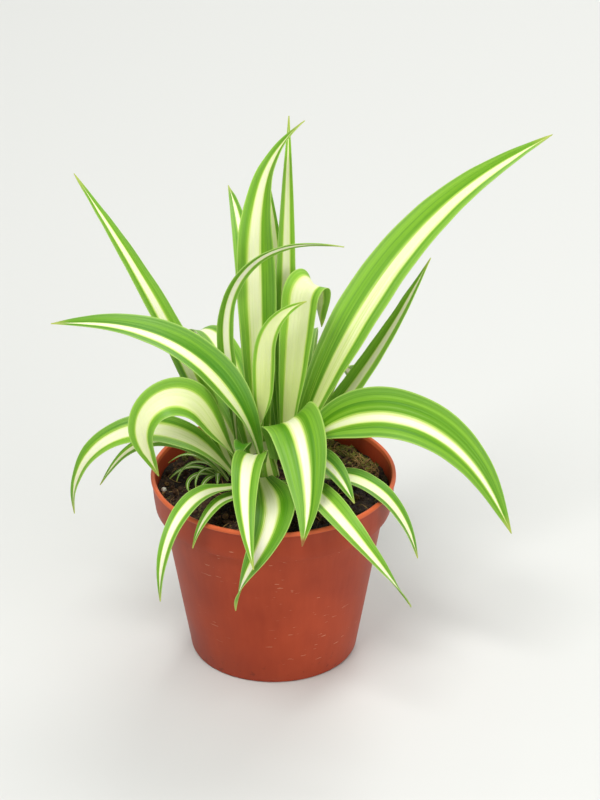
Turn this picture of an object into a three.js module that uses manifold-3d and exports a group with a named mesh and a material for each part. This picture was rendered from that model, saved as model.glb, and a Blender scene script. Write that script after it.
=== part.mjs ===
// A young variegated spider plant in a 12 cm terracotta-coloured plastic pot.
// Millimetres, +Z up, origin under the middle of the pot on the surface that it stands on.
import * as THREE from 'three';
import Module from 'manifold-3d';
import { mergeVertices } from 'three/addons/utils/BufferGeometryUtils.js';

const wasm = await Module();
wasm.setup();

// Driving dimensions

const gap = 0.3; // clearance between pieces that touch

const pot = {
  height: 96,
  rimRadius: 60,
  bandHeight: 17, // the straight rim band above the step
  bandFootRadius: 57.9,
  shoulderRadius: 54.6, // outside of the wall just under the step
  baseRadius: 41,
  wall: 1.4,
  lip: 1.8, // height of the thicker edge round the top
  floor: 3.2, // top of the floor above the ground
  recess: 1.5, // how far the ring with the drain holes stands off the ground
  bossRadius: 14, // flat disc in the middle of the underside
  footRing: 4,
  holes: 8,
  holeRadius: 4.2,
  holeCircle: 27,
  sides: 60,
};

const soil = {
  top: 88, // mean height of the surface, 8 mm under the rim
  lump: 1.6,
  clear: 0.35, // to the pot's wall
  rings: 6,
};

const crown = {
  x: -3,
  y: 4,
  stretch: 1.4, // longer from side to side than from front to back
  radius: 3, // under the soil
  shoulder: 4.4, // where it swells at the soil
  tip: 1.6,
  depth: 16,
  rise: 18,
  sides: 16,
};

const blade = {
  thick: 0.8, // at the midrib
  edge: 0.6,
  across: [-1, -0.52, 0, 0.52, 1],
  steps: 60, // fine steps along the centreline
  every: 5, // one cross-section each so many steps
  baseShare: 0.42, // base width as a share of the widest place
  widest: 0.36, // where along the blade it is widest
  taper: 1.7,
  tip: 0.45, // half width left at the very tip
  crease: 9, // rise of each half straight from the midrib, degrees
};

// Each leaf: from and ring give the side of the crown it grows on and its distance from the crown's
// middle, rise its height above the soil. It sets out along heading (0 is +X, 90 is +Y) at the angle
// lift. Its heading turns by swing, most of it near the tip. Its pitch falls by droop, most of that
// round bendAt, over the share soft of its length. roll turns the blade's face past its base, twist
// turns it on to the tip.
const leaves = [
  { name: 'leaf_tall_left', from: 105, ring: 10.6, rise: 20, heading: 102, swing: -105, lift: 86,
    droop: 44, bendAt: 0.78, soft: 0.6, length: 168, width: 20.5, widest: 0.5, fold: 26 },
  { name: 'leaf_tall_slim', from: 56, ring: 10.6, rise: 20, heading: 86, lift: 79.5, droop: 8,
    length: 160, width: 11, fold: 20 },
  { name: 'leaf_tall_back', from: 66, ring: 15, rise: 14, heading: 101, lift: 80, droop: 14,
    length: 132, width: 14, fold: 24 },
  { name: 'leaf_long_right', from: 14, ring: 10, rise: 16, heading: 42, lift: 61, droop: 55, roll: -30,
    length: 222, width: 23, fold: 20 },
  { name: 'leaf_bent_middle', from: 36, ring: 9, rise: 25.5, heading: 50, lift: 81, droop: 160,
    bendAt: 0.72, soft: 0.18, roll: -14, length: 108, width: 20, widest: 0.7, fold: 20 },
  { name: 'leaf_small_inner', from: 120, ring: 3.4, rise: 22, heading: 352, lift: 88, droop: 70,
    bendAt: 0.8, soft: 0.6, roll: -80, length: 86, width: 12, widest: 0.5, fold: 22 },
  { name: 'leaf_slim_arching', from: 138, ring: 14, rise: 10, heading: 171, swing: -20, lift: 84,
    droop: -92, bendAt: 0.66, soft: 0.7, roll: 50, length: 162, width: 10, fold: 24 },
  { name: 'leaf_left_arch', from: 250, ring: 8.2, rise: 20, heading: 164, lift: 77, droop: 88,
    bendAt: 0.45, soft: 1.1, roll: 25, length: 136, width: 20.5, fold: 18 },
  { name: 'leaf_left_high', from: 175, ring: 11.8, rise: 4, heading: 136.5, lift: 58, droop: 16,
    length: 168, width: 16.5, fold: 18 },
  { name: 'leaf_left_folded', from: 212, ring: 11, rise: 12, heading: 202, lift: 60, droop: 172,
    bendAt: 0.6, soft: 0.56, roll: 30, twist: 45, length: 112, width: 21, widest: 0.4, fold: 16 },
  { name: 'leaf_left_low', from: 214, ring: 13, rise: 6, heading: 183, lift: 52, droop: 154,
    bendAt: 0.58, soft: 1.15, roll: 30, length: 120, width: 17, fold: 18 },
  { name: 'leaf_left_under', from: 186, ring: 13.8, rise: 2, heading: 173, lift: 58, droop: 118,
    bendAt: 0.46, roll: 40, length: 84, width: 8, fold: 16 },
  { name: 'leaf_front_left', from: 236, ring: 12.6, rise: 4, heading: 238, lift: 21, droop: 114,
    bendAt: 0.64, soft: 0.8, length: 107, width: 12, fold: 18 },
  { name: 'leaf_front_left_short', from: 254, ring: 12.8, rise: 2.2, heading: 241, swing: -16, lift: 19,
    droop: 90, bendAt: 0.74, soft: 0.7, length: 66, width: 9, fold: 16 },
  { name: 'leaf_front_slim', from: 253, ring: 9.6, rise: 16, heading: 261, swing: 34, lift: 56,
    droop: 116, bendAt: 0.45, soft: 1.3, length: 101, width: 16, fold: 18 },
  { name: 'leaf_front_turning', from: 262, ring: 10, rise: 8, heading: 280, swing: -150, lift: 10,
    droop: 94, bendAt: 0.66, soft: 0.85, length: 104, width: 21, fold: 16 },
  { name: 'leaf_front_broad', from: 316, ring: 7.4, rise: 16, heading: 289, swing: -42, lift: 88,
    droop: 132, bendAt: 0.315, soft: 0.6, roll: -20, length: 103.5, width: 28, widest: 0.36, fold: 12 },
  { name: 'leaf_front_right', from: 318, ring: 10.4, rise: 5, heading: 288, swing: 118, lift: 20,
    droop: 78, bendAt: 0.54, soft: 0.8, length: 124, width: 17, fold: 18 },
  { name: 'leaf_front_right_short', from: 324, ring: 8.8, rise: 11, heading: 311, lift: 47, droop: 92,
    length: 57, width: 18, fold: 18 },
  { name: 'leaf_right_low', from: 344, ring: 11.8, rise: 4, heading: 325, lift: 20, droop: 91,
    bendAt: 0.58, soft: 0.9, length: 86, width: 15, fold: 18 },
  { name: 'leaf_right_arch', from: 336, ring: 9.6, rise: 15.5, heading: 342, lift: 55, droop: 120,
    bendAt: 0.45, soft: 1, roll: -44, length: 150, width: 27, fold: 14 },
  { name: 'leaf_right_slim', from: 8, ring: 9.8, rise: 12, heading: 36, lift: 36, droop: -20,
    length: 120, width: 15, fold: 18 },
  { name: 'leaf_back_right_low', from: 42, ring: 12.6, rise: 3, heading: 69, lift: 40, droop: 104,
    bendAt: 0.56, soft: 0.9, length: 118, width: 17, fold: 18 },
  { name: 'leaf_back_middle_low', from: 88, ring: 13, rise: 3, heading: 97, lift: 36, droop: 100,
    bendAt: 0.6, soft: 0.9, length: 124, width: 19, fold: 18 },
  { name: 'leaf_back_left_low', from: 128, ring: 12.6, rise: 3, heading: 125, lift: 38, droop: 108,
    bendAt: 0.56, soft: 0.9, length: 112, width: 16, fold: 18 },
  { name: 'leaf_back_right', from: 60, ring: 12.8, rise: 6.5, heading: 82, lift: 57, droop: 118,
    bendAt: 0.5, soft: 1, length: 140, width: 18, fold: 18 },
  { name: 'leaf_back_left', from: 112, ring: 13, rise: 9, heading: 111, lift: 58, droop: 112,
    bendAt: 0.5, soft: 1, length: 132, width: 17, fold: 18 },
  { name: 'leaf_back_steep', from: 100, ring: 14, rise: 15, heading: 99, lift: 72, droop: 74,
    bendAt: 0.6, soft: 1, length: 150, width: 15, fold: 20 },
];

// A seedling's thin blades, fused on a short stem that stands in its own hole in the soil
const plantlet = { x: -27, y: 7, radius: 1.7, depth: 7, rise: 4.5, every: 10, sides: 12 };
const plantletBlades = [
  { heading: 178, swing: 34, lift: 38, droop: 74, length: 27, width: 2.8, fold: 16 },
  { heading: 200, swing: 120, lift: 26, droop: 58, length: 25, width: 2.6, fold: 16 },
  { heading: 232, swing: 20, lift: 22, droop: 50, length: 17, width: 2.4, fold: 16 },
  { heading: 150, swing: 30, lift: 44, droop: 84, length: 31, width: 2.2, fold: 16 },
  { heading: 268, lift: 34, droop: 70, length: 12, width: 2.2, fold: 16 },
];

const materials = {
  pot: { color: 0xa8432b, roughness: 0.45 },
  soil: { color: 0x1d150e, roughness: 0.95 },
  crown: { color: 0xc9d98a, roughness: 0.6 },
  leaf: { color: 0x86b24a, roughness: 0.5 },
};

// Helpers

const rad = THREE.MathUtils.degToRad;
const clamp = THREE.MathUtils.clamp;

function bodyOf(geometry) {
  const bare = geometry.clone();
  bare.deleteAttribute('normal');
  bare.deleteAttribute('uv');
  const merged = mergeVertices(bare, 1e-4);
  return new wasm.Manifold(new wasm.Mesh({
    numProp: 3,
    vertProperties: new Float32Array(merged.attributes.position.array),
    triVerts: new Uint32Array(merged.index.array),
  }));
}

function geometryOf(body) {
  const mesh = body.getMesh();
  const geometry = new THREE.BufferGeometry();
  geometry.setAttribute('position', new THREE.BufferAttribute(new Float32Array(mesh.vertProperties), 3));
  geometry.setIndex(new THREE.BufferAttribute(new Uint32Array(mesh.triVerts), 1));
  geometry.computeVertexNormals();
  return geometry;
}

function smooth(t) {
  const x = clamp(t, 0, 1);
  return x * x * (3 - 2 * x);
}

function lathe(points, sides) {
  const geometry = new THREE.LatheGeometry(points.map(([x, y]) => new THREE.Vector2(x, y)), sides);
  return geometry.rotateX(Math.PI / 2);
}

function piece(name, geometry, finish) {
  const material = new THREE.MeshStandardMaterial({ ...materials[finish], metalness: 0 });
  const mesh = new THREE.Mesh(geometry, material);
  mesh.name = name;
  return mesh;
}

// Pot

function wallRadius(z) {
  return THREE.MathUtils.mapLinear(z, 0, pot.height - pot.bandHeight, pot.baseRadius, pot.shoulderRadius);
}

function potPiece() {
  const step = pot.height - pot.bandHeight;
  const inside = (z) => wallRadius(z) - pot.wall;
  const outline = [
    [0, 0],
    [pot.bossRadius, 0],
    [pot.bossRadius + pot.recess, pot.recess],
    [pot.baseRadius - pot.footRing - pot.recess, pot.recess],
    [pot.baseRadius - pot.footRing, 0],
    [pot.baseRadius - 1, 0],
    [wallRadius(1.2), 1.2],
    [wallRadius(step - 1), step - 1],
    [wallRadius(step) + 0.8, step],
    [pot.bandFootRadius - 0.7, step],
    [pot.bandFootRadius, step + 0.8],
    [pot.rimRadius - 0.6, pot.height - pot.lip - 0.6],
    [pot.rimRadius, pot.height - pot.lip],
    [pot.rimRadius, pot.height - 0.5],
    [pot.rimRadius - 0.5, pot.height],
    [pot.rimRadius - pot.wall - 0.3, pot.height],
    [pot.rimRadius - pot.wall - 0.9, pot.height - 0.8],
    [pot.bandFootRadius - pot.wall, step + pot.wall + 0.6],
    [pot.bandFootRadius - pot.wall - 0.6, step + pot.wall],
    [inside(step) + 0.8, step + pot.wall],
    [inside(step), step + pot.wall - 1],
    [inside(pot.floor + 1.5), pot.floor + 1.5],
    [inside(pot.floor) - 1.5, pot.floor],
    [0, pot.floor],
  ];
  let body = bodyOf(lathe(outline, pot.sides));
  for (let i = 0; i < pot.holes; i += 1) {
    const angle = (i / pot.holes) * Math.PI * 2;
    const drill = new THREE.CylinderGeometry(pot.holeRadius, pot.holeRadius, pot.floor * 3, 16);
    drill.rotateX(Math.PI / 2);
    drill.translate(Math.cos(angle) * pot.holeCircle, Math.sin(angle) * pot.holeCircle, pot.floor);
    body = body.subtract(bodyOf(drill));
  }
  return piece('pot', geometryOf(body), 'pot');
}

// Soil, with a lumpy top that sinks a little towards the wall and rises to the crown

function soilHeight(x, y) {
  const r = Math.hypot(x, y) / pot.rimRadius;
  const wave = Math.sin(x * 0.19 + 1.3) * Math.cos(y * 0.23 - 0.4) + 0.6 * Math.sin(x * 0.41 - y * 0.37);
  const mound = 2.2 * Math.exp(-(((x - crown.x) ** 2 + (y - crown.y) ** 2) / 360));
  return soil.top + soil.lump * 0.6 * wave + mound - 1.4 * smooth((r - 0.7) / 0.3);
}

function soilBody() {
  const step = pot.height - pot.bandHeight + pot.wall;
  const inside = (z) => wallRadius(z) - pot.wall - soil.clear;
  const top = pot.bandFootRadius - pot.wall - soil.clear;
  const outline = [
    [0, pot.floor + gap],
    [inside(pot.floor) - 1.8, pot.floor + gap],
    [inside(pot.floor + 1.8), pot.floor + 1.8 + gap],
    [inside(step - 1), step - 1 + gap],
    [inside(step) + 0.6, step + gap],
    [top - 1, step + gap],
    [top - 0.4, step + 1 + gap],
    [top, soil.top - 3],
  ];
  for (let i = 0; i < soil.rings; i += 1) outline.push([top * (1 - i / soil.rings), soil.top]);
  outline.push([0, soil.top]);
  const geometry = lathe(outline, pot.sides);
  const place = geometry.attributes.position;
  for (let i = 0; i < place.count; i += 1) {
    if (place.getZ(i) > soil.top - 0.01) place.setZ(i, soilHeight(place.getX(i), place.getY(i)));
  }
  return bodyOf(geometry);
}

// Crown: the short rootstock, standing in a plain hole in the soil

function crownOutline(grow) {
  const { radius, shoulder, tip, depth, rise } = crown;
  return [
    [0, soil.top - depth - grow],
    [radius * 0.5 + grow, soil.top - depth - grow],
    [radius + grow, soil.top - depth * 0.6],
    [shoulder + grow, soil.top - 2],
    [shoulder + grow, soil.top + 4],
    [shoulder * 0.72 + grow, soil.top + rise * 0.6],
    [tip + grow, soil.top + rise],
    [0, soil.top + rise + grow],
  ];
}

function crownBody(grow) {
  const geometry = lathe(crownOutline(grow), crown.sides);
  return bodyOf(geometry.scale(crown.stretch, 1, 1).translate(crown.x, crown.y, 0));
}

// Leaf blades

function widthAt(leaf, s) {
  const widest = leaf.widest ?? blade.widest;
  const rising = blade.baseShare + (1 - blade.baseShare) * Math.sin((Math.PI / 2) * (s / widest));
  const falling = 1 - ((s - widest) / (1 - widest)) ** blade.taper;
  return (leaf.width / 2 - blade.tip) * (s < widest ? rising : falling) + blade.tip;
}

function rootOf(leaf) {
  if (leaf.root) return leaf.root;
  const from = rad(leaf.from);
  const x = crown.x + Math.cos(from) * leaf.ring * crown.stretch;
  return [x, crown.y + Math.sin(from) * leaf.ring, soil.top + leaf.rise];
}

// The frames along a leaf: point, direction, the blade's width direction and its upper normal
function centreline(leaf) {
  const { heading, lift, droop, length, swing = 0, bendAt = 0.5, soft = 1, roll = 0, twist = 0 } = leaf;
  const point = new THREE.Vector3(...rootOf(leaf));
  const frames = [];
  for (let i = 0; i <= blade.steps; i += 1) {
    const s = i / blade.steps;
    const pitchAt = (t) => rad(lift - droop * smooth((t - bendAt) / soft + 0.5));
    const headAt = (t) => rad(heading + swing * t ** 3);
    const way = (t) => new THREE.Vector3(
      Math.cos(pitchAt(t)) * Math.cos(headAt(t)),
      Math.cos(pitchAt(t)) * Math.sin(headAt(t)),
      Math.sin(pitchAt(t)));
    const along = way(s);
    const turn = rad(roll) * smooth(s / 0.35) + rad(twist) * s;
    const side = new THREE.Vector3(-Math.sin(headAt(s)), Math.cos(headAt(s)), 0);
    side.applyAxisAngle(along, -turn);
    frames.push({ s, point: point.clone(), along, side, up: along.clone().cross(side) });
    point.addScaledVector(way(s + 0.5 / blade.steps), length / blade.steps);
  }
  return frames;
}

// One point of the blade's skin: u runs from -1 to 1 across, face is 1 on top and -1 underneath
function skinPoint(leaf, frame, u, face) {
  const half = widthAt(leaf, frame.s);
  const open = smooth(frame.s / 0.3); // the base wraps the crown, and the blade opens from there
  const wrap = half / leaf.ring;
  const bend = THREE.MathUtils.lerp(Math.min(wrap, 1.3), rad(leaf.fold), open);
  const crease = rad(blade.crease) * open;
  const angle = crease + bend * Math.abs(u);
  const across = (Math.sin(angle) - Math.sin(crease)) / bend * half * Math.sign(u);
  const rise = (Math.cos(crease) - Math.cos(angle)) / bend * half;
  const thick = THREE.MathUtils.lerp(blade.thick, blade.edge, Math.abs(u)) / 2 * face;
  return frame.point.clone()
    .addScaledVector(frame.side, across - Math.sin(angle) * Math.sign(u) * thick)
    .addScaledVector(frame.up, rise + Math.cos(angle) * thick);
}

function bladeGeometry(leaf, every = blade.every) {
  const frames = centreline(leaf).filter((frame, i) => i % every === 0);
  const columns = blade.across.length;
  const positions = [];
  for (const frame of frames) {
    for (const face of [1, -1]) {
      for (const u of blade.across) positions.push(...skinPoint(leaf, frame, u, face).toArray());
    }
  }
  const at = (row, face, column) => (row * 2 + face) * columns + column;
  const index = [];
  const quad = (a, b, c, d) => index.push(a, b, c, a, c, d);
  for (let r = 0; r + 1 < frames.length; r += 1) {
    for (let c = 0; c + 1 < columns; c += 1) {
      quad(at(r, 0, c), at(r + 1, 0, c), at(r + 1, 0, c + 1), at(r, 0, c + 1));
      index.push(at(r, 1, c), at(r + 1, 1, c + 1), at(r + 1, 1, c));
      index.push(at(r, 1, c), at(r, 1, c + 1), at(r + 1, 1, c + 1));
    }
    const last = columns - 1;
    quad(at(r, 0, 0), at(r, 1, 0), at(r + 1, 1, 0), at(r + 1, 0, 0));
    quad(at(r, 0, last), at(r + 1, 0, last), at(r + 1, 1, last), at(r, 1, last));
  }
  const end = frames.length - 1;
  for (let c = 0; c + 1 < columns; c += 1) {
    quad(at(0, 0, c), at(0, 0, c + 1), at(0, 1, c + 1), at(0, 1, c));
    quad(at(end, 0, c), at(end, 1, c), at(end, 1, c + 1), at(end, 0, c + 1));
  }
  const geometry = new THREE.BufferGeometry();
  geometry.setAttribute('position', new THREE.Float32BufferAttribute(positions, 3));
  geometry.setIndex(index);
  geometry.computeVertexNormals();
  return geometry;
}

// Plantlet

function plantletStem(grow) {
  const { x, y, radius, depth, rise, sides } = plantlet;
  const foot = soil.top - depth - grow;
  const outline = [
    [0, foot], [radius * 0.7 + grow, foot], [radius + grow, foot + 1],
    [radius + grow, soil.top + rise - 1], [radius * 0.6 + grow, soil.top + rise], [0, soil.top + rise],
  ];
  return bodyOf(lathe(outline, sides).translate(x, y, 0));
}

function plantletBody() {
  let body = plantletStem(0);
  for (const [i, leaf] of plantletBlades.entries()) {
    const grown = { ...leaf, ring: 1.6, root: [plantlet.x, plantlet.y, soil.top + 1.4 + i * 0.5] };
    body = body.add(bodyOf(bladeGeometry(grown, plantlet.every)));
  }
  return body;
}

// Assembly

const group = new THREE.Group();
group.add(potPiece());
const soilSolid = soilBody().subtract(crownBody(gap)).subtract(plantletStem(gap));
group.add(piece('soil', geometryOf(soilSolid), 'soil'));
group.add(piece('crown', geometryOf(crownBody(0)), 'crown'));
group.add(piece('plantlet', geometryOf(plantletBody()), 'leaf'));
for (const leaf of leaves) group.add(piece(leaf.name, bladeGeometry(leaf), 'leaf'));

export default group;
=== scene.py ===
import math
import random
import bpy
from mathutils import Euler, Matrix, Vector, noise


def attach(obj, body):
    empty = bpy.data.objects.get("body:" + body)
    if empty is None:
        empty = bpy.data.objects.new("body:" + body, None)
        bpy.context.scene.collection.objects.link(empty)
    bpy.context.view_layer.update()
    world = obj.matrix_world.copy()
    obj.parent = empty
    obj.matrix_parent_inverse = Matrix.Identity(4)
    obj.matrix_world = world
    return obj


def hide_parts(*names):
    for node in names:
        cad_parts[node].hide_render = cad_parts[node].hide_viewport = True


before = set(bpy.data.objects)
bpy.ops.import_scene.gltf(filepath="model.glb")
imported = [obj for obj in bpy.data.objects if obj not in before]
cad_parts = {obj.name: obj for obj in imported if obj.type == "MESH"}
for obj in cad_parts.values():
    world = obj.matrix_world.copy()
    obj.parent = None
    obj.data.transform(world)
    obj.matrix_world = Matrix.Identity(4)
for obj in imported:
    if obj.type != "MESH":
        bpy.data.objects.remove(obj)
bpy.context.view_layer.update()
mm = 0.001  # settings give lengths in mm and angles in degrees, where no note says otherwise
random.seed(12)


def deselectAll():
    if bpy.context.object and bpy.context.object.mode != "OBJECT":
        bpy.ops.object.mode_set(mode="OBJECT")
    bpy.ops.object.select_all(action="DESELECT")


def choose(piece):  # the only selected and the active object
    deselectAll()
    piece.select_set(True)
    bpy.context.view_layer.objects.active = piece


def applyModifiers(piece):
    choose(piece)
    for modifier in list(piece.modifiers):
        bpy.ops.object.modifier_apply(modifier=modifier.name)


def faceOut(piece):
    choose(piece)
    bpy.ops.object.mode_set(mode="EDIT")
    bpy.ops.mesh.select_all(action="SELECT")
    bpy.ops.mesh.remove_doubles(threshold=0.000005)
    bpy.ops.mesh.normals_make_consistent(inside=False)
    bpy.ops.object.mode_set(mode="OBJECT")


def smoothByAngle(piece, degrees):
    choose(piece)
    bpy.ops.object.shade_smooth_by_angle(angle=math.radians(degrees))


def joinAll(pieces):  # one mesh, with its place in the mesh
    deselectAll()
    for piece in pieces:
        piece.select_set(True)
    bpy.context.view_layer.objects.active = pieces[0]
    if len(pieces) > 1:
        bpy.ops.object.join()
    bpy.ops.object.transform_apply(location=True, rotation=True, scale=True)
    return bpy.context.object


def copyOf(model, place, turn, size):
    piece = model.copy()
    piece.data = model.data.copy()
    bpy.context.scene.collection.objects.link(piece)
    piece.matrix_world = Matrix.LocRotScale(Vector(place) * mm, Euler(turn), Vector(size) * mm)
    return piece


def setAttribute(mesh, name, values):
    layer = mesh.attributes.get(name) or mesh.attributes.new(name, "FLOAT", "POINT")
    layer.data.foreach_set("value", values)


def finishPiece(piece, name, material, slotName, *nodes):
    piece.name = piece.data.name = name
    piece.data.materials.clear()
    piece.data.materials.append(material)
    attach(piece, "root")
    if nodes:
        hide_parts(*nodes)


def drawOut(sides, rings):  # a disc drawn out through rings of radius and height, closed at both ends
    deselectAll()
    bpy.ops.mesh.primitive_circle_add(vertices=sides, radius=rings[0][0] * mm, fill_type="NGON",
                                      location=(0, 0, rings[0][1] * mm))
    piece = bpy.context.object
    bpy.ops.object.transform_apply(location=True)
    bpy.ops.object.mode_set(mode="EDIT")
    bpy.ops.mesh.select_all(action="SELECT")
    for (radius, height), (nextRadius, nextHeight) in zip(rings, rings[1:]):
        climb = (nextHeight - height) * mm
        bpy.ops.mesh.extrude_region_move(TRANSFORM_OT_translate={"value": (0, 0, climb)})
        grow = nextRadius / radius
        bpy.ops.transform.resize(value=(grow, grow, 1), center_override=(0, 0, nextHeight * mm))
    bpy.ops.object.mode_set(mode="OBJECT")
    return piece


def ease(t):
    t = min(max(t, 0.0), 1.0)
    return t * t * (3 - 2 * t)


def mix(a, b, t):
    return a + (b - a) * t


def finer(rings, parts):  # the same outline with each stretch cut into parts
    cut = [(mix(a[0], b[0], i / parts), mix(a[1], b[1], i / parts)) for a, b in zip(rings, rings[1:])
           for i in range(parts)]
    return cut + [rings[-1]]


# A wrapped socket: Python's operators on it add Math nodes
class Signal:
    def __init__(self, tree, socket):
        self.tree, self.socket = tree, socket

    def math(self, operation, *others, swap=False):
        values = [self, *others]
        if swap:
            values = values[::-1]
        return make(self.tree, "ShaderNodeMath", {"operation": operation}, dict(enumerate(values)))

    def __add__(self, other):
        return self.math("ADD", other)

    def __sub__(self, other):
        return self.math("SUBTRACT", other)

    def __mul__(self, other):
        return self.math("MULTIPLY", other)

    def __truediv__(self, other):
        return self.math("DIVIDE", other)

    def __rsub__(self, other):
        return self.math("SUBTRACT", other, swap=True)

    __radd__ = __add__
    __rmul__ = __mul__

    def clamped(self):
        return make(self.tree, "ShaderNodeClamp", {}, {"Value": self})

    def over(self, start, soft):  # 0 below start, rising to 1 over soft
        return ((self - start) / soft).clamped()

    def paint(self, low, high):  # this signal mixes two colours
        return make(self.tree, "ShaderNodeMix", {"data_type": "RGBA"}, {"Factor": self, 6: low, 7: high},
                    out=2)


# Any node: its settings first, then a number, a colour or a signal for each socket
def make(tree, kind, settings, values, out=0):
    node = tree.nodes.new(kind)
    for key, value in settings.items():
        setattr(node, key, value)
    for key, value in values.items():
        if isinstance(value, Signal):
            tree.links.new(value.socket, node.inputs[key])
        else:
            node.inputs[key].default_value = value
    return Signal(tree, node.outputs[out])


def hexColour(code):  # a colour as a screen shows it, made linear
    parts = [int(code[i:i + 2], 16) / 255 for i in (0, 2, 4)]
    return [p / 12.92 if p <= 0.04045 else ((p + 0.055) / 1.055) ** 2.4 for p in parts] + [1.0]


def coloursOf(look):  # all the colours in a settings dictionary
    return {key: hexColour(value) for key, value in look.items() if isinstance(value, str)}


def newMaterial(name, constants):
    material = bpy.data.materials.new(name)
    material.use_nodes = True
    shader = material.node_tree.nodes["Principled BSDF"]
    for key, value in constants.items():
        shader.inputs[key].default_value = value
    return material, material.node_tree, shader


def connect(shader, **signals):
    for key, signal in signals.items():
        shader.id_data.links.new(signal.socket, shader.inputs[key.replace("_", " ")])


def bump(tree, height, strength, distance):
    return make(tree, "ShaderNodeBump", {}, {"Strength": strength, "Distance": distance, "Height": height})


def attribute(tree, name):
    return make(tree, "ShaderNodeAttribute", {"attribute_name": name}, {}, out=2)


def objectPlace(tree):
    return make(tree, "ShaderNodeTexCoord", {}, {}, out=3)


def noiseAt(tree, place, scale, detail=2.0, rough=0.5):
    return make(tree, "ShaderNodeTexNoise", {}, {"Vector": place, "Scale": scale, "Detail": detail,
                                                 "Roughness": rough})


def stretched(tree, place, scale, turn=(0, 0, 0)):
    return make(tree, "ShaderNodeMapping", {}, {"Vector": place, "Rotation": turn, "Scale": scale})


def vectorOf(tree, x, y, z):
    return make(tree, "ShaderNodeCombineXYZ", {}, {0: x, 1: y, 2: z})


# Camera, light and floor, in metres
cameraSettings = {"place": (0.0, -1.6805, 1.0527), "aim": (0.013, 0.0, 0.136), "lens": 178, "nearest": 0.05}
lightSettings = {
    "key": {"place": (-0.5, -0.9, 2.2), "size": 1.0, "power": 43},
    "fill": {"place": (1.3, -1.6, 0.8), "size": 1.6, "power": 19},
    "back": {"place": (0.6, 1.5, 1.6), "size": 1.2, "power": 22},
    "aim": (0.0, 0.0, 0.12), "sky": 0.46, "floor": "cdceca", "floorSize": 8,
}


def turnedTo(place, aim):  # the turn that points a camera or a lamp at aim
    return (Vector(aim) - Vector(place)).to_track_quat("-Z", "Y").to_euler()


def makeStage():
    scene = bpy.context.scene
    data = bpy.data.cameras.new("camera")
    camera = bpy.data.objects.new("camera", data)
    scene.collection.objects.link(camera)
    camera.location = cameraSettings["place"]
    camera.rotation_euler = turnedTo(cameraSettings["place"], cameraSettings["aim"])
    data.lens = cameraSettings["lens"]
    data.clip_start = cameraSettings["nearest"]
    scene.camera = camera
    scene.view_settings.view_transform = "Standard"  # keeps the greens as full as the eye sees them

    for name in ("key", "fill", "back"):
        look = lightSettings[name]
        light = bpy.data.lights.new(name, "AREA")
        light.size, light.energy = look["size"], look["power"]
        lamp = bpy.data.objects.new(name, light)
        scene.collection.objects.link(lamp)
        lamp.location = look["place"]
        lamp.rotation_euler = turnedTo(look["place"], lightSettings["aim"])

    world = bpy.data.worlds.new("studio")
    world.use_nodes = True
    background = world.node_tree.nodes["Background"]
    background.inputs["Color"].default_value = (1, 1, 1, 1)
    background.inputs["Strength"].default_value = lightSettings["sky"]
    scene.world = world

    deselectAll()
    bpy.ops.mesh.primitive_plane_add(size=lightSettings["floorSize"], location=(0, 0, 0))
    floor = bpy.context.object
    floor.name = "floor"
    finish = {"Base Color": hexColour(lightSettings["floor"]), "Roughness": 0.6}
    floor.data.materials.append(newMaterial("paleFloor", finish)[0])


makeStage()
print("stage made")


# The pot
potSettings = {
    "sides": 144, "rimRadius": 60,
    # radius and height of the wall's outline: out under the foot, up outside, down inside
    "outline": [
        (14, 0), (15.2, 1.2), (16, 1.5), (34.6, 1.5), (35.6, 1.1), (36.8, 0), (39.6, 0), (40.6, 0.4),
        (41.1, 1.4), (45.4, 26), (49.9, 52), (54.4, 77.6), (54.8, 78.7), (55.4, 79), (57.2, 79),
        (57.7, 79.2), (57.95, 79.8), (58.6, 84.5), (59.35, 93.4), (59.5, 93.9), (59.95, 94.3), (60, 94.8),
        (59.9, 95.6), (59.5, 96), (58.9, 96), (58.2, 95.8), (57.8, 95.2), (56.6, 82), (56.1, 80.9),
        (54.2, 80.4), (53.3, 79.4), (48.6, 52), (41.2, 9), (40.4, 5.2), (39.2, 3.6), (38, 3.2), (14, 3.2),
    ],
    "holes": 8, "holeRadius": 4.2, "holeCircle": 27, "holeSides": 40, "drillLength": 12, "drillHeight": 2,
    "lipFrom": 93.6, "lipSoft": 0.8, "soiledTo": 16,
    # how fine the patterns in the plastic are
    "clouds": 26, "grain": 1100, "flowLines": 300, "scratches": 170, "specks": 260,
    "lit": "ad4627", "deep": "91341b", "lip": "dd6c3e", "dust": "cf9a7c", "soil": "2b1a12",
}


def makePot():
    look = potSettings
    pot = drawOut(look["sides"], look["outline"])
    faceOut(pot)
    drills = []
    for i in range(look["holes"]):
        turn = 2 * math.pi * i / look["holes"]
        x, y = math.cos(turn) * look["holeCircle"], math.sin(turn) * look["holeCircle"]
        deselectAll()
        bpy.ops.mesh.primitive_cylinder_add(
            vertices=look["holeSides"], radius=look["holeRadius"] * mm, depth=look["drillLength"] * mm,
            location=(x * mm, y * mm, look["drillHeight"] * mm))
        drills.append(bpy.context.object)
    drill = joinAll(drills)
    cut = pot.modifiers.new("drainHoles", "BOOLEAN")
    cut.operation, cut.object, cut.solver = "DIFFERENCE", drill, "EXACT"
    applyModifiers(pot)
    bpy.data.objects.remove(drill)
    faceOut(pot)
    smoothByAngle(pot, 40)
    return pot


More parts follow.
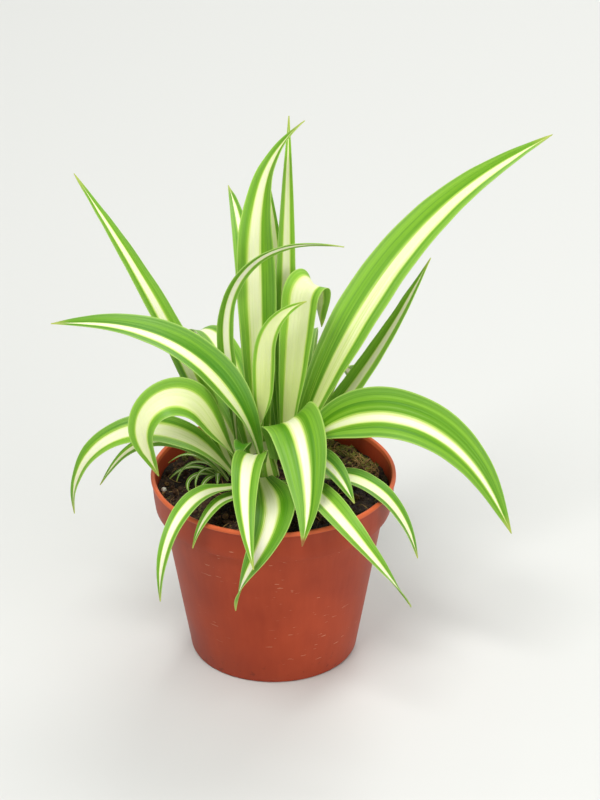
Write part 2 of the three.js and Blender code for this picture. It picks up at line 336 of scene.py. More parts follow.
def potMaterial():
    look = potSettings
    colour = coloursOf(look)
    material, tree, shader = newMaterial("terracottaPlastic", {"Specular IOR Level": 0.2})
    place = objectPlace(tree)
    height = make(tree, "ShaderNodeSeparateXYZ", {}, {0: place}, out=2)
    cloud = noiseAt(tree, place, look["clouds"], 3, 0.55)
    grain = noiseAt(tree, place, look["grain"], 2, 0.5)
    # faint upright flow lines of the moulding, and slanting scratches
    flow = noiseAt(tree, stretched(tree, place, (1, 1, 0.06)), look["flowLines"], 2, 0.5)
    slanted = stretched(tree, place, (1, 1, 7), (0.5, 0.2, 0.9))
    scratch = noiseAt(tree, slanted, look["scratches"], 2, 0.5)
    body = (cloud * 0.8 + flow * 0.2).over(0.3, 0.45).paint(colour["deep"], colour["lit"])
    # painted highlight: the rounded top of the rim is painted a lighter orange, as where the light catches
    # it
    body = (height.over(look["lipFrom"] * mm, look["lipSoft"] * mm) * 0.7).paint(body, colour["lip"])
    scuff = scratch.over(0.69, 0.04) * cloud.over(0.5, 0.08) * 0.6
    body = scuff.paint(body, colour["dust"])
    specks = noiseAt(tree, place, look["specks"], 3, 0.6).over(0.62, 0.05)  # soil low down on the wall
    body = (specks * (1 - height.over(0, look["soiledTo"] * mm)) * 0.5).paint(body, colour["soil"])
    connect(shader, Base_Color=body, Roughness=0.42 + cloud * 0.14 + scuff * 0.3,
            Normal=bump(tree, grain * 0.35 + flow * 0.5 + scuff, 0.2, 0.4 * mm))
    return material


finishPiece(makePot(), "potShell", potMaterial(), "pot", "pot")
print("pot made")


# The crown's middle, and how much longer the crown is from side to side than from front to back
crownPlace = (-3, 4)
crownStretch = 1.4

# The soil. Its waves, the mound at the crown and the edge that sinks to the wall are the CAD soil's own,
# and coarse, crumb and fine lumps are added to them, each with its height and how close it is set
soilSettings = {
    "sides": 260, "rings": 96, "top": 88, "lump": 1.6, "mound": 2.2, "moundSpread": 360,
    "sink": 1.4, "sinkFrom": 0.7, "sinkOver": 0.3,
    "coarse": 1.1, "coarseSet": 0.22, "crumb": 0.9, "crumbSet": 0.55, "fine": 0.5, "fineSet": 1.5,
    "wall": [(38.2, 3.6), (40.2, 5.4), (47.8, 50), (52.8, 80.6), (54.6, 81.2), (56.1, 82.4), (56.5, 85)],
    "patches": 90, "grains": 620, "cells": 480,  # how fine its patterns are
    "dark": "120b07", "brown": "3e2b1c", "olive": "66662a",
}


def soilHeight(x, y):
    look = soilSettings
    wave = math.sin(x * 0.19 + 1.3) * math.cos(y * 0.23 - 0.4) + 0.6 * math.sin(x * 0.41 - y * 0.37)
    mound = math.exp(-((x - crownPlace[0]) ** 2 + (y - crownPlace[1]) ** 2) / look["moundSpread"])
    outward = math.hypot(x, y) / potSettings["rimRadius"]
    height = look["top"] + look["lump"] * 0.6 * wave + look["mound"] * mound
    height -= look["sink"] * ease((outward - look["sinkFrom"]) / look["sinkOver"])
    spot = Vector((x, y, 0))
    height += look["coarse"] * noise.noise(spot * look["coarseSet"])
    height += look["crumb"] * abs(noise.noise(spot * look["crumbSet"] + Vector((3, 0, 0))))
    return height + look["fine"] * noise.noise(spot * look["fineSet"])


def makeSoil():
    look = soilSettings
    edge = look["wall"][-1][0]
    inner = [(edge * (1 - i / look["rings"]), look["top"]) for i in range(look["rings"])]
    soil = drawOut(look["sides"], look["wall"] + inner)
    justBelowTop = (look["top"] - 0.01) * mm
    for vertex in soil.data.vertices:
        if vertex.co.z > justBelowTop:
            vertex.co.z = soilHeight(vertex.co.x / mm, vertex.co.y / mm) * mm
    faceOut(soil)
    smoothByAngle(soil, 70)
    return soil


def peatMaterial():
    look = soilSettings
    colour = coloursOf(look)
    material, tree, shader = newMaterial("darkPeat", {"Specular IOR Level": 0.3})
    place = objectPlace(tree)
    patches = noiseAt(tree, place, look["patches"], 4, 0.65)
    grains = noiseAt(tree, place, look["grains"], 3, 0.65)
    cells = make(tree, "ShaderNodeTexVoronoi", {}, {"Vector": place, "Scale": look["cells"]})
    body = (patches * 0.6 + grains * 0.4).over(0.42, 0.16).paint(colour["dark"], colour["brown"])
    body = (grains.over(0.6, 0.04) * patches.over(0.44, 0.1) * 0.8).paint(body, colour["olive"])
    body = ((1 - cells.over(0.08, 0.3)) * 0.5).paint(body, colour["dark"])
    connect(shader, Base_Color=body, Roughness=0.72 + patches * 0.25,
            Normal=bump(tree, grains + cells * 0.6, 0.8, mm))
    return material


finishPiece(makeSoil(), "soilBed", peatMaterial(), "soil", "soil")
print("soil made")


# Loose things on the soil. reach is how far from the pot's middle they lie, a patch its place and width,
# flat the height as a share of the size, rough and knobs how far and how closely a surface is pushed in
# and out, raised how far a middle stands over the soil, and shades run from dark to light
looseSettings = {
    "crumbs": {"count": 950, "reach": 54.5, "size": (0.5, 1.9), "flat": (0.5, 0.9), "rough": 0.6,
               "knobs": 1.6, "shades": ("150d08", "4b3422", "7d6136")},
    "moss": {"count": 620, "reach": 54, "patches": [(40, 36, 12), (47, 22, 7), (24, 46, 9), (-38, 32, 7)],
             "size": (0.6, 2.2), "flat": (0.6, 1), "spike": 0.75, "shades": ("383a14", "9a9648", "9a9648")},
    # a fibre is pushed back from the wall, and its middle rises by the square of its lift
    "fibres": {"count": 100, "reach": 50, "tangle": 90, "patches": [(47, 15, 7), (44, 26, 8), (34, 40, 8)],
               "length": (6, 20), "radius": (0.12, 0.36), "steps": 6, "wander": 0.6, "lift": 2.1,
               "raised": 0.7, "thinner": 0.5, "wall": 54, "pushBack": 0.93,
               "dark": "4a301b", "light": "b08c55"},
    "bead": {"place": (-53.6, -1.8), "radius": 1.4, "raised": 0.6, "rough": 0.1, "knobs": 900, "flat": 0.9,
             "pale": "f0ede2", "paintedPitShade": "cfc8b4"},
    # how a crumb or a tuft of moss is sized and set down
    "anyTurn": 6.28, "mostlySmall": 2.2, "long": (0.7, 1.5), "broad": (0.7, 1.1), "raised": 0.25,
}


def crumbModel():
    look = looseSettings["crumbs"]
    deselectAll()
    bpy.ops.mesh.primitive_ico_sphere_add(subdivisions=2, radius=1)
    crumb = bpy.context.object
    for vertex in crumb.data.vertices:
        vertex.co *= 1 + look["rough"] * noise.noise(vertex.co * look["knobs"] + Vector((5, 0, 0)))
    return crumb


def mossModel():  # a tiny burr of pointed leaves
    deselectAll()
    bpy.ops.mesh.primitive_ico_sphere_add(subdivisions=1, radius=0.5)
    tuft = bpy.context.object
    bpy.ops.object.mode_set(mode="EDIT")
    bpy.ops.mesh.select_all(action="SELECT")
    bpy.ops.mesh.poke(offset=looseSettings["moss"]["spike"])
    bpy.ops.object.mode_set(mode="OBJECT")
    return tuft


def scatter(model, places, look):
    way = looseSettings
    copies = []
    for x, y in places:
        wide = mix(*look["size"], random.random() ** way["mostlySmall"])
        tall = wide * random.uniform(*look["flat"])
        turn = [random.uniform(0, way["anyTurn"]) for _ in range(3)]
        size = (wide * random.uniform(*way["long"]), wide * random.uniform(*way["broad"]), tall)
        copies.append(copyOf(model, (x, y, soilHeight(x, y) + tall * way["raised"]), turn, size))
        setAttribute(copies[-1].data, "shade", [random.random()] * len(model.data.vertices))
    bpy.data.objects.remove(model)
    return joinAll(copies)


def spotsInRing(count, reach):
    spots = []
    for _ in range(count):
        r, turn = reach * math.sqrt(random.random()), random.uniform(0, 2 * math.pi)
        spots.append((r * math.cos(turn), r * math.sin(turn)))
    return spots


def spotsInPatches(count, patches, reach):
    spots = []
    while len(spots) < count:
        x, y, wide = random.choice(patches)
        spot = (random.gauss(x, wide * 0.5), random.gauss(y, wide * 0.5))
        if math.hypot(*spot) < reach:
            spots.append(spot)
    return spots


def makeFibres():
    look = looseSettings["fibres"]
    curve = bpy.data.curves.new("fibres", "CURVE")
    curve.dimensions, curve.bevel_depth, curve.bevel_resolution = "3D", mm, 1
    curve.resolution_u, curve.use_fill_caps = 3, True
    spots = spotsInRing(look["count"], look["reach"])
    spots += spotsInPatches(look["tangle"], look["patches"], look["reach"])
    steps = look["steps"]
    for x, y in spots:
        thick, length = random.uniform(*look["radius"]), random.uniform(*look["length"])
        heading, lift = random.uniform(0, looseSettings["anyTurn"]), random.uniform(0, look["lift"])
        strand = curve.splines.new("NURBS")
        strand.points.add(steps)
        for i, point in enumerate(strand.points):
            z = soilHeight(x, y) + thick * look["raised"] + lift ** 2 * math.sin(math.pi * i / steps)
            point.co = (x * mm, y * mm, z * mm, 1)
            point.radius = thick * (1 - look["thinner"] * i / steps)
            heading += random.uniform(-look["wander"], look["wander"])
            x, y = x + math.cos(heading) * length / steps, y + math.sin(heading) * length / steps
            if math.hypot(x, y) > look["wall"]:
                x, y = x * look["pushBack"], y * look["pushBack"]
        strand.use_endpoint_u = True
    fibres = bpy.data.objects.new("fibres", curve)
    bpy.context.scene.collection.objects.link(fibres)
    choose(fibres)
    bpy.ops.object.convert(target="MESH")
    fibres = bpy.context.object
    faceOut(fibres)
    smoothByAngle(fibres, 60)
    return fibres


def makeBead():
    look = looseSettings["bead"]
    x, y = look["place"]
    z = soilHeight(x, y) + look["radius"] * look["raised"]
    deselectAll()
    bpy.ops.mesh.primitive_uv_sphere_add(segments=24, ring_count=14, radius=look["radius"] * mm,
                                         location=(x * mm, y * mm, z * mm))
    bead = bpy.context.object
    for vertex in bead.data.vertices:
        vertex.co *= 1 + look["rough"] * noise.noise(vertex.co * look["knobs"])
    bead.scale.z = look["flat"]
    bead = joinAll([bead])
    smoothByAngle(bead, 60)
    return bead


def shadedMaterial(name, look):  # colours a scattered piece by its shade attribute
    low, middle, high = [hexColour(code) for code in look["shades"]]
    material, tree, shader = newMaterial(name, {"Specular IOR Level": 0.3})
    grains = noiseAt(tree, objectPlace(tree), 800, 3, 0.6)
    shade = attribute(tree, "shade") * 0.75 + grains * 0.3
    body = shade.over(0.1, 0.55).paint(low, middle)
    body = shade.over(0.72, 0.2).paint(body, high)
    connect(shader, Base_Color=body, Roughness=0.7 + grains * 0.2, Normal=bump(tree, grains, 0.6, 0.5 * mm))
    return material


def fibreMaterial():
    colour = coloursOf(looseSettings["fibres"])
    material, tree, shader = newMaterial("rootFibre", {"Specular IOR Level": 0.3})
    patches = noiseAt(tree, objectPlace(tree), 120, 2, 0.5)
    fine = noiseAt(tree, objectPlace(tree), 1500, 2, 0.5)
    connect(shader, Base_Color=patches.over(0.4, 0.25).paint(colour["dark"], colour["light"]),
            Roughness=0.6 + fine * 0.3, Normal=bump(tree, fine, 0.4, 0.2 * mm))
    return material


def beadMaterial():
    colour = coloursOf(looseSettings["bead"])
    material, tree, shader = newMaterial("whiteGrain", {})
    pits = noiseAt(tree, objectPlace(tree), 1400, 3, 0.6)
    # painted shade: the hollows of the bump are coloured darker, as the shade that falls in them
    connect(shader, Base_Color=pits.over(0.3, 0.4).paint(colour["paintedPitShade"], colour["pale"]),
            Roughness=0.5 + pits * 0.3, Normal=bump(tree, pits, 0.5, 0.3 * mm))
    return material


crumbLook, mossLook = looseSettings["crumbs"], looseSettings["moss"]
crumbs = scatter(crumbModel(), spotsInRing(crumbLook["count"], crumbLook["reach"]), crumbLook)
finishPiece(crumbs, "soilCrumbs", shadedMaterial("peatCrumb", crumbLook), "soil")
mossSpots = spotsInPatches(mossLook["count"], mossLook["patches"], mossLook["reach"])
finishPiece(scatter(mossModel(), mossSpots, mossLook), "soilMoss", shadedMaterial("moss", mossLook), "soil")
finishPiece(makeFibres(), "soilFibres", fibreMaterial(), "soil")
finishPiece(makeBead(), "whiteBead", beadMaterial(), "soil")
print("loose things made")


# The leaves. base and ring give the side of the crown that a leaf grows on, rise its height over the
# soil. It sets out along heading at the angle lift, turns by swing, and falls by droop round bendAt, over
# the share soft of its length. roll and twist turn its face, fold turns up its halves, wave ripples them,
# and widest is where along it it is widest. stripe is the cream stripe's share of the width, shift its
# way off the middle to the left of the leaf's heading, pale how yellow-green it is, and lines how much it
# is broken by fine lines. tone is how light the green is, partly the leaf's own green and partly painted
# light and shade for how lit each leaf stands. dry is how brown the tip.
leafDefaults = {
    "swing": 0, "bendAt": 0.5, "soft": 1, "roll": 0, "twist": 0, "widest": 0.36,
    "stripe": 0.34, "pale": 0.3, "lines": 0.4, "toneAndPaintedLight": 0.5, "dry": 0, "shift": 0, "wave": 0.5,
}
leafSettings = {
    "leaf_tall_left": dict(base=105, ring=10.6, rise=20, heading=102, swing=-105, lift=86, droop=44,
        bendAt=0.78, soft=0.6, length=168, width=20.5, widest=0.5, fold=26, stripe=0.34, pale=0.5,
        shift=0.08, toneAndPaintedLight=0.6, lines=0.6),
    "leaf_tall_slim": dict(base=56, ring=10.6, rise=20, heading=86, lift=79.5, droop=8, length=160,
        width=11, fold=20, stripe=0.44, pale=0.6, toneAndPaintedLight=0.85),
    "leaf_tall_back": dict(base=66, ring=15, rise=14, heading=101, lift=80, droop=14, length=132, width=14,
        fold=24, stripe=0.5, pale=0.7, toneAndPaintedLight=0.4),
    "leaf_long_right": dict(base=14, ring=10, rise=16, heading=42, lift=61, droop=55, roll=-30, length=222,
        width=23, fold=20, stripe=0.32, pale=0.6, lines=1, shift=-0.24, toneAndPaintedLight=0.65),
    "leaf_bent_middle": dict(base=36, ring=9, rise=25.5, heading=50, lift=81, droop=160, bendAt=0.72,
        soft=0.18, roll=-14, length=108, width=20, widest=0.7, fold=20, stripe=0.6, pale=0.75, lines=0.4,
        toneAndPaintedLight=0.9),
    "leaf_small_inner": dict(base=120, ring=3.4, rise=22, heading=352, lift=88, droop=70, bendAt=0.8,
        soft=0.6, roll=-80, length=86, width=12, widest=0.5, fold=22, stripe=0.66, pale=0.95, toneAndPaintedLight=0.85),
    "leaf_slim_arching": dict(base=138, ring=14, rise=10, heading=171, swing=-20, lift=84, droop=-92,
        bendAt=0.66, soft=0.7, roll=50, length=162, width=10, fold=24, stripe=0.34, pale=0.1, shift=-0.25),
    "leaf_left_arch": dict(base=250, ring=8.2, rise=20, heading=164, lift=77, droop=88, bendAt=0.45,
        soft=1.1, roll=25, length=136, width=20.5, fold=18, stripe=0.27, pale=0.1, toneAndPaintedLight=0.3, shift=0.26),
    "leaf_left_high": dict(base=175, ring=11.8, rise=4, heading=136.5, lift=58, droop=16, length=168,
        width=16.5, fold=18, stripe=0.32, pale=0.25),
    "leaf_left_folded": dict(base=212, ring=11, rise=12, heading=202, lift=60, droop=172, bendAt=0.6,
        soft=0.56, roll=30, twist=45, length=112, width=21, widest=0.4, fold=16, stripe=0.5, pale=0.7,
        lines=0.6, toneAndPaintedLight=0.6),
    "leaf_left_low": dict(base=214, ring=13, rise=6, heading=183, lift=52, droop=154, bendAt=0.58,
        soft=1.15, roll=30, length=120, width=17, fold=18, stripe=0.42, pale=0.35, lines=0.7),
    "leaf_left_under": dict(base=186, ring=13.8, rise=2, heading=173, lift=58, droop=118, bendAt=0.46,
        roll=40, length=84, width=8, fold=16, stripe=0.4, pale=0.3, toneAndPaintedLight=0.4),
    "leaf_front_left": dict(base=236, ring=12.6, rise=4, heading=238, lift=21, droop=114, bendAt=0.64,
        soft=0.8, length=107, width=12, fold=18, stripe=0.42, pale=0.15),
    "leaf_front_left_short": dict(base=254, ring=12.8, rise=2.2, heading=241, swing=-16, lift=19, droop=90,
        bendAt=0.74, soft=0.7, length=66, width=9, fold=16, stripe=0.35, pale=0.4),
    "leaf_front_slim": dict(base=253, ring=9.6, rise=16, heading=261, swing=34, lift=56, droop=116,
        bendAt=0.45, soft=1.3, length=101, width=16, fold=18, stripe=0.38, pale=0.1, toneAndPaintedLight=0.6),
    "leaf_front_turning": dict(base=262, ring=10, rise=8, heading=280, swing=-150, lift=10, droop=94,
        bendAt=0.66, soft=0.85, length=104, width=21, fold=16, stripe=0.32, pale=0.2, lines=0.7, toneAndPaintedLight=0.3,
        shift=-0.1),
    "leaf_front_broad": dict(base=316, ring=7.4, rise=16, heading=289, swing=-42, lift=88, droop=132,
        bendAt=0.315, soft=0.6, roll=-20, length=103.5, width=28, widest=0.36, fold=12, stripe=0.24,
        pale=0.0, dry=1),
    "leaf_front_right": dict(base=318, ring=10.4, rise=5, heading=288, swing=118, lift=20, droop=78,
        bendAt=0.54, soft=0.8, length=124, width=17, fold=18, stripe=0.36, pale=0.2),
    "leaf_front_right_short": dict(base=324, ring=8.8, rise=11, heading=311, lift=47, droop=92, length=57,
        width=18, fold=18, stripe=0.3, pale=0.3, toneAndPaintedLight=0.2),
    "leaf_right_low": dict(base=344, ring=11.8, rise=4, heading=325, lift=20, droop=91, bendAt=0.58,
        soft=0.9, length=86, width=15, fold=18, stripe=0.42, pale=0.4, lines=0.9, toneAndPaintedLight=0.15),
    "leaf_right_arch": dict(base=336, ring=9.6, rise=15.5, heading=342, lift=55, droop=120, bendAt=0.45,
        soft=1, roll=-44, length=150, width=27, fold=14, stripe=0.21, pale=0.0, toneAndPaintedLight=0.5, shift=-0.12),
    "leaf_right_slim": dict(base=8, ring=9.8, rise=12, heading=36, lift=36, droop=-20, length=120, width=15,
        fold=18, stripe=0.32, pale=0.3, toneAndPaintedLight=0.7, lines=0.5),
    "leaf_back_right_low": dict(base=42, ring=12.6, rise=3, heading=69, lift=40, droop=104, bendAt=0.56,
        soft=0.9, length=118, width=17, fold=18, stripe=0.36, pale=0.2),
    "leaf_back_middle_low": dict(base=88, ring=13, rise=3, heading=97, lift=36, droop=100, bendAt=0.6,
        soft=0.9, length=124, width=19, fold=18, stripe=0.4, pale=0.2),
    "leaf_back_left_low": dict(base=128, ring=12.6, rise=3, heading=125, lift=38, droop=108, bendAt=0.56,
        soft=0.9, length=112, width=16, fold=18, stripe=0.34, pale=0.3),
    "leaf_back_right": dict(base=60, ring=12.8, rise=6.5, heading=82, lift=57, droop=118, bendAt=0.5,
        soft=1, length=140, width=18, fold=18, stripe=0.38, pale=0.2),
    "leaf_back_left": dict(base=112, ring=13, rise=9, heading=111, lift=58, droop=112, bendAt=0.5, soft=1,
        length=132, width=17, fold=18, stripe=0.4, pale=0.25),
    "leaf_back_steep": dict(base=100, ring=14, rise=15, heading=99, lift=72, droop=74, bendAt=0.6, soft=1,
        length=150, width=15, fold=20, stripe=0.36, pale=0.4),
}

# What all blades share. baseShare is the width at the base, tip half the width at the very end, and taper
# how late a blade narrows. The base wraps the crown, by wrapMost radians at most, and is open by openAt,
# roll is complete at rollAt, and crease is the rise at the midrib. thinner is how much thinner the edges
# are. They wander by the share uneven, over unevenLength, and ripple over waveLength.
bladeSettings = {
    "grid": (96, 14), "thick": 0.62, "thinner": 0.55, "baseShare": 0.42, "taper": 1.7, "tip": 0.2,
    "openAt": 0.3, "rollAt": 0.35, "wrapMost": 1.3, "crease": 9, "uneven": 0.03, "unevenLength": 16,
    "waveLength": 13, "waveSpread": 1.6, "seedStep": 1.7,
}

# The seedling at the left: thin blades on a short stem, the first at rise over the soil and each next
# one step higher
seedlingSettings = {
    "place": (-27, 7), "sides": 16, "rise": 1.4, "step": 0.4, "grid": (36, 6), "thick": 0.4, "firstSeed": 50,
    "shared": dict(ring=1.6, stripe=0.3, pale=0.5, wave=0.1),
    "stem": [(0.9, 81), (1.5, 82), (1.6, 88), (1.9, 90.5), (1.1, 92.4), (0.5, 92.6)],
    "blades": [
        dict(heading=178, swing=34, lift=38, droop=74, length=27, width=3.7, fold=16),
        dict(heading=200, swing=120, lift=26, droop=58, length=25, width=3.4, fold=16),
        dict(heading=232, swing=20, lift=22, droop=50, length=17, width=3.2, fold=16),
        dict(heading=150, swing=30, lift=44, droop=84, length=31, width=2.9, fold=16),
        dict(heading=268, lift=34, droop=70, length=12, width=2.8, fold=16),
        dict(heading=188, swing=60, lift=52, droop=104, length=28, width=2.3, fold=20),
        dict(heading=214, swing=70, lift=44, droop=96, length=21, width=2.2, fold=20),
    ],
}


def leafFrames(leaf, steps, root):  # point, width direction and upper side at each step along a leaf
    point = Vector(root)
    frames = []

    def pitchAt(t):
        return math.radians(leaf["lift"] - leaf["droop"] * ease((t - leaf["bendAt"]) / leaf["soft"] + 0.5))

    def headAt(t):
        return math.radians(leaf["heading"] + leaf["swing"] * t ** 3)

    def way(t):
        pitch, head = pitchAt(t), headAt(t)
        return Vector((math.cos(pitch) * math.cos(head), math.cos(pitch) * math.sin(head), math.sin(pitch)))

    for i in range(steps + 1):
        s = i / steps
        along = way(s)
        rolled = ease(s / bladeSettings["rollAt"])
        turn = math.radians(leaf["roll"]) * rolled + math.radians(leaf["twist"]) * s
        side = Matrix.Rotation(-turn, 3, along) @ Vector((-math.sin(headAt(s)), math.cos(headAt(s)), 0))
        frames.append((point.copy(), side, along.cross(side)))
        point += way(s + 0.5 / steps) * (leaf["length"] / steps)
    return frames


def halfWidth(leaf, s):
    look, widest = bladeSettings, leaf["widest"]
    if s < widest:
        share = mix(look["baseShare"], 1, math.sin(math.pi / 2 * s / widest))
    else:
        share = 1 - ((s - widest) / (1 - widest)) ** look["taper"]
    return (leaf["width"] / 2 - look["tip"]) * share + look["tip"]


def rootOf(leaf):
    turn = math.radians(leaf["base"])
    return (crownPlace[0] + math.cos(turn) * leaf["ring"] * crownStretch,
            crownPlace[1] + math.sin(turn) * leaf["ring"], soilSettings["top"] + leaf["rise"])


def makeBlade(leaf, seed, root, grid, thick):
    look = bladeSettings
    rows, columns = grid
    deselectAll()
    bpy.ops.mesh.primitive_grid_add(x_subdivisions=columns, y_subdivisions=rows, size=1)
    blade = bpy.context.object
    mesh = blade.data
    frames = leafFrames(leaf, rows, root)
    across, along = [], []
    margin = blade.vertex_groups.new(name="margin")
    for vertex in mesh.vertices:
        # u runs from -1 at the right edge to 1 at the left one, s from 0 at the base to 1 at the tip
        u, s = -2 * vertex.co.x, vertex.co.y + 0.5
        across.append(u)
        along.append(s)
        margin.add([vertex.index], 1 - look["thinner"] * u * u, "REPLACE")
        point, side, up = frames[round(s * rows)]
        edge = noise.noise(Vector((s * leaf["length"] / look["unevenLength"], seed, 2 * (u > 0))))
        half = halfWidth(leaf, s) * (1 + look["uneven"] * edge)
        opened = ease(s / look["openAt"])
        fold = mix(min(half / leaf["ring"], look["wrapMost"]), math.radians(leaf["fold"]), opened)
        crease = math.radians(look["crease"]) * opened
        angle = crease + fold * abs(u)
        sign = (u > 0) - (u < 0)
        reach = (math.sin(angle) - math.sin(crease)) / fold * half * sign
        rise = (math.cos(crease) - math.cos(angle)) / fold * half
        ripple = noise.noise(Vector((s * leaf["length"] / look["waveLength"], sign * 4, seed)))
        rise += leaf["wave"] * abs(u) ** look["waveSpread"] * opened * ripple
        vertex.co = (point + side * reach + up * rise) * mm
    setAttribute(mesh, "across", across)
    setAttribute(mesh, "along", along)
    for name in ("stripe", "pale", "lines", "toneAndPaintedLight", "dry", "shift"):
        setAttribute(mesh, name, [leaf[name]] * len(across))
    setAttribute(mesh, "seed", [seed * look["seedStep"]] * len(across))
    wall = blade.modifiers.new("thickness", "SOLIDIFY")
    wall.thickness, wall.offset, wall.vertex_group = thick * mm, 0, "margin"
    applyModifiers(blade)
    # Solidify adds the underside's vertices after those of the upper side
    setAttribute(mesh, "under", [float(v.index >= len(across)) for v in mesh.vertices])
    blade.vertex_groups.clear()
    smoothByAngle(blade, 50)
    return blade


def makeSeedling():
    look = seedlingSettings
    x, y = look["place"]
    stem = drawOut(look["sides"], finer(look["stem"], 2))
    stem.location = (x * mm, y * mm, 0)
    faceOut(stem)
    smoothByAngle(stem, 50)
    parts = [stem]
    for i, values in enumerate(look["blades"]):
        leaf = {**leafDefaults, **look["shared"], **values}
        root = (x, y, soilSettings["top"] + look["rise"] + i * look["step"])
        parts.append(makeBlade(leaf, look["firstSeed"] + i, root, look["grid"], look["thick"]))
    return joinAll(parts)


# The crown: the short rootstock, wrapped by old leaf bases. sheaths is how many show round it, slant how
# far they wind as they rise, lap how far each stands out, and paint their stripes and colours. along is
# the part of a leaf's length whose colours the crown takes.
crownSettings = {
    "sides": 72, "sheaths": 5, "slant": 0.8, "lap": 0.12, "along": (0.05, 0.25),
    "paint": {"stripe": 0.4, "pale": 0.9, "lines": 0.8, "toneAndPaintedLight": 0.6},
    "rings": [(1.5, 72), (3, 78), (4.3, 86), (4.4, 92), (3.6, 97), (2.6, 102), (1.4, 105.4), (0.5, 105.9)],
    # a young leaf still curled up, in front, painted dark green all over with no stripe, a painted shade for
    # the shadowed fold of the leaves there
    "shoot": dict(heading=250, lift=66, droop=110, bendAt=0.5, soft=0.9, length=13, width=9, ring=6, fold=30,
                  widest=0.5, stripe=-0.2, lines=0, toneAndPaintedLight=-0.6, wave=0.2),
    "shootRoot": (-13.5, -5.5, 112), "shootSeed": 70, "shootGrid": (40, 8), "shootThick": 0.6,
}


def makeCrown():
    look = crownSettings
    rings = finer(look["rings"], 4)
    crown = drawOut(look["sides"], rings)
    low, high = rings[0][1], rings[-1][1]
    across, along = [], []
    for vertex in crown.data.vertices:
        height = (vertex.co.z / mm - low) / (high - low)
        turns = math.atan2(vertex.co.y, vertex.co.x) / (2 * math.pi)
        lap = (turns * look["sheaths"] + height * look["slant"]) % 1
        swell = 1 + look["lap"] * (lap ** 2 - 0.5)
        across.append(abs(2 * lap - 1))
        along.append(mix(*look["along"], height))
        vertex.co.x = vertex.co.x * crownStretch * swell + crownPlace[0] * mm
        vertex.co.y = vertex.co.y * swell + crownPlace[1] * mm
    setAttribute(crown.data, "across", across)
    setAttribute(crown.data, "along", along)
    for name, value in look["paint"].items():
        setAttribute(crown.data, name, [value] * len(across))
    smoothByAngle(crown, 50)
    return crown


# The surface of all leaves: its colours, how close the veins stand, and how far the noise behind its
# streaks is drawn out, by a scale across the blade and one along it
leafFinish = {
    "green": "7cb022", "deep": "427e06", "paintedSheenAndUnderside": "9dc268", "edge": "b0d06a", "cream": "ebead0",
    "yellow": "d4de90", "border": "b4d058", "tip": "c4c064", "dry": "94602f",
    "veins": 34, "wide": (5.0, 1.2), "fine": (22.0, 1.3), "wander": (0.0, 3.0), "wanderBy": 0.14,
    "shader": {"Specular IOR Level": 0.3, "Subsurface Weight": 0.1, "Subsurface Radius": (0.5, 0.6, 0.12),
               "Subsurface Scale": 0.003},
}


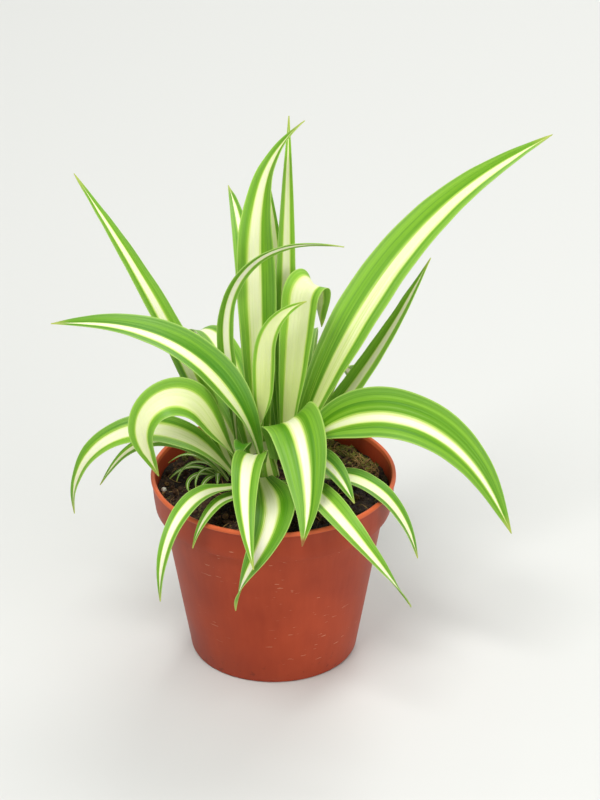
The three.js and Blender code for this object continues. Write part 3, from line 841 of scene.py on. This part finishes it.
def leafMaterial():
    look = leafFinish
    colour = coloursOf(look)
    material, tree, shader = newMaterial("stripedLeaf", look["shader"])
    across, along = attribute(tree, "across"), attribute(tree, "along")
    seed, stripe, pale = attribute(tree, "seed"), attribute(tree, "stripe"), attribute(tree, "pale")
    lines, toneAndPaintedLight, dry = attribute(tree, "lines"), attribute(tree, "toneAndPaintedLight"), attribute(tree, "dry")
    under, shift = attribute(tree, "under"), attribute(tree, "shift")

    def streaks(drawn, offset):
        place = vectorOf(tree, across * drawn[0] + seed, along * drawn[1], seed + offset)
        return noiseAt(tree, place, 1.0, 3, 0.55)

    side = across.math("ABSOLUTE")
    nearBase = 1 - along.over(0.05, 0.5)
    wander = (streaks(look["wander"], 5) - 0.5) * look["wanderBy"]
    wide, fine = streaks(look["wide"], 1), streaks(look["fine"], 2)

    # how far a place is inside the stripe, whose edge is broken up by fine lines
    distance = (across - shift - wander).math("ABSOLUTE")
    reach = stripe * (1.12 - along * 0.2) * ((1 - along) * 7).clamped()
    inside = reach - distance + (wide - 0.5) * 0.16 + (fine - 0.5) * (lines * 0.3 + 0.06)

    # the green, darker near the base as painted shade, paler towards the edge as a painted sheen, and pale
    # on the very edge
    lightness = ((wide - 0.5) * 2.0 + (fine - 0.5) * 0.8 + toneAndPaintedLight - nearBase * 0.15).clamped()
    green = lightness.paint(colour["deep"], colour["green"])
    # painted sheen: towards the edges the green takes a pale blue-green that stands for the sky's reflection
    green = (side.over(0.45, 0.5) * 0.2).paint(green, colour["paintedSheenAndUnderside"])
    green = (side.over(0.93, 0.05) * 0.6).paint(green, colour["edge"])

    # the stripe, from its yellow-green border in to the cream, and fine lines near the base
    yellowed = (pale * 0.8 + nearBase * 0.6 + (fine - 0.5) * 0.5).clamped()
    cream = yellowed.paint(colour["cream"], colour["yellow"])
    body = inside.over(-0.07, 0.09).paint(green, colour["border"])
    body = inside.over(0.0, 0.08).paint(body, colour["yellow"])
    body = inside.over(0.05, 0.08).paint(body, cream)
    body = (fine.over(0.58, 0.05) * lines * nearBase * 0.7).paint(body, colour["border"])

    # the tip, which is dry where a leaf says so, and the duller underside
    body = (along.over(0.93, 0.06) * 0.6).paint(body, colour["tip"])
    body = (along.over(0.955, 0.02) * dry).paint(body, colour["dry"])
    body = (under * 0.2).paint(body, colour["paintedSheenAndUnderside"])
    ridges = (across * look["veins"]).math("SINE") * 0.5 + 0.5
    connect(shader, Base_Color=body, Roughness=0.38 + wide * 0.16 + under * 0.1,
            Normal=bump(tree, ridges * 0.6 + fine * 0.5, 0.25, 0.5 * mm))
    return material


leafSurface = leafMaterial()
for number, (name, values) in enumerate(leafSettings.items()):
    leaf = {**leafDefaults, **values}
    blade = makeBlade(leaf, number + 1, rootOf(leaf), bladeSettings["grid"], bladeSettings["thick"])
    finishPiece(blade, name.replace("leaf_", "blade_"), leafSurface, "leaf", name)
print("leaves made:", len(leafSettings))

finishPiece(makeSeedling(), "seedling", leafSurface, "leaf", "plantlet")
finishPiece(makeCrown(), "crownStock", leafSurface, "crown", "crown")
# the curled shoot is dark all over: painted shade
shoot = makeBlade({**leafDefaults, **crownSettings["shoot"]}, crownSettings["shootSeed"],
                  crownSettings["shootRoot"], crownSettings["shootGrid"], crownSettings["shootThick"])
finishPiece(shoot, "curledShoot", leafSurface, "leaf")
print("seedling and crown made")
